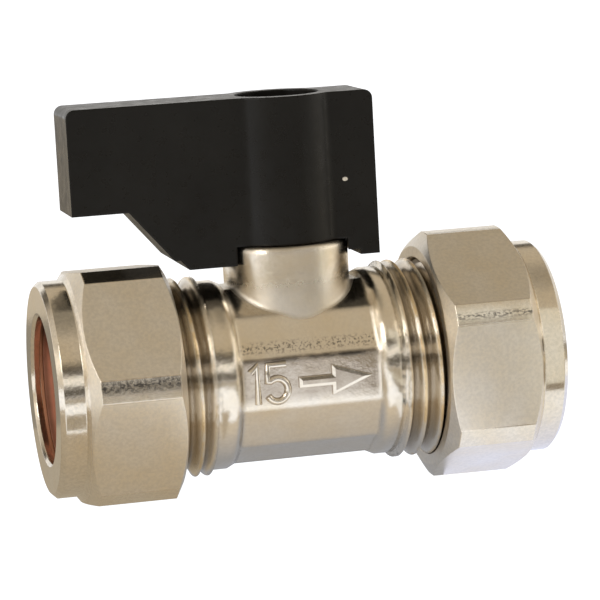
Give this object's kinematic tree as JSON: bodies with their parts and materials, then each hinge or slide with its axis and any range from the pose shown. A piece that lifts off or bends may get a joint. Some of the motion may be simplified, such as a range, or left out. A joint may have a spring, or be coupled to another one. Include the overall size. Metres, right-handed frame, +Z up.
{
  "type": "lever isolating valve",
  "caption": "Small lever ball valve for a 15 mm pipe, with a twelve-sided plated body, a compression nut and olive at each end, and a black plastic lever that turns a quarter turn.",
  "frame": {"origin": "centre of the ball, where the pipe axis meets the stem axis", "axes": "+X along the pipe towards the outlet, +Z up the stem, +Y away from the face with the size mark; the lever points along -X when open"},
  "size_m": [0.0536, 0.0264, 0.0423],
  "materials": {
    "plated_brass": "nickel plated, satin with bright edges",
    "bare_brass": "turned",
    "plated_ball": "polished",
    "seat_plastic": "smooth",
    "seal_rubber": "matt",
    "lever_plastic": "moulded, fine grain",
    "screw_steel": "zinc plated",
    "copper": "turned, slightly dulled"
  },
  "bodies": {
    "valve_body": {"body": "plated_brass", "seat_left": "seat_plastic", "seat_right": "seat_plastic", "seat_retainer": "bare_brass", "stem_thrust_washer": "seat_plastic"},
    "spindle": {"lever": "lever_plastic", "lever_screw": "screw_steel", "stem": "bare_brass", "stem_oring_lower": "seal_rubber", "stem_oring_upper": "seal_rubber", "ball": "plated_ball"},
    "olive_left": {"olive_left": "copper"},
    "nut_left": {"nut_left": "plated_brass"},
    "olive_right": {"olive_right": "copper"},
    "nut_right": {"nut_right": "plated_brass"}
  },
  "joints": [
    {"name": "lever_turn", "type": "hinge", "parent": "valve_body", "child": "spindle", "pos_m": [0, 0, 0], "axis": [0, 0, -1], "range_deg": [0, 90]},
    {"name": "olive_left_travel", "type": "slide", "parent": "valve_body", "child": "olive_left", "axis": [-1, 0, 0], "range_m": [0, 0.0055]},
    {"name": "nut_left_turn", "type": "hinge", "parent": "olive_left", "child": "nut_left", "pos_m": [-0.02, 0, 0], "axis": [-1, 0, 0], "range_deg": [0, 1080]},
    {"name": "olive_right_travel", "type": "slide", "parent": "valve_body", "child": "olive_right", "axis": [1, 0, 0], "range_m": [-0.0006, 0.0049]},
    {"name": "nut_right_turn", "type": "hinge", "parent": "olive_right", "child": "nut_right", "pos_m": [0.0206, 0, 0], "axis": [1, 0, 0], "range_deg": [-118, 970]}
  ],
  "couplings": [
    {"joint": "olive_left_travel", "follows": "nut_left_turn", "m_per_rad": 0.00028871},
    {"joint": "olive_right_travel", "follows": "nut_right_turn", "m_per_rad": 0.00028871}
  ]
}
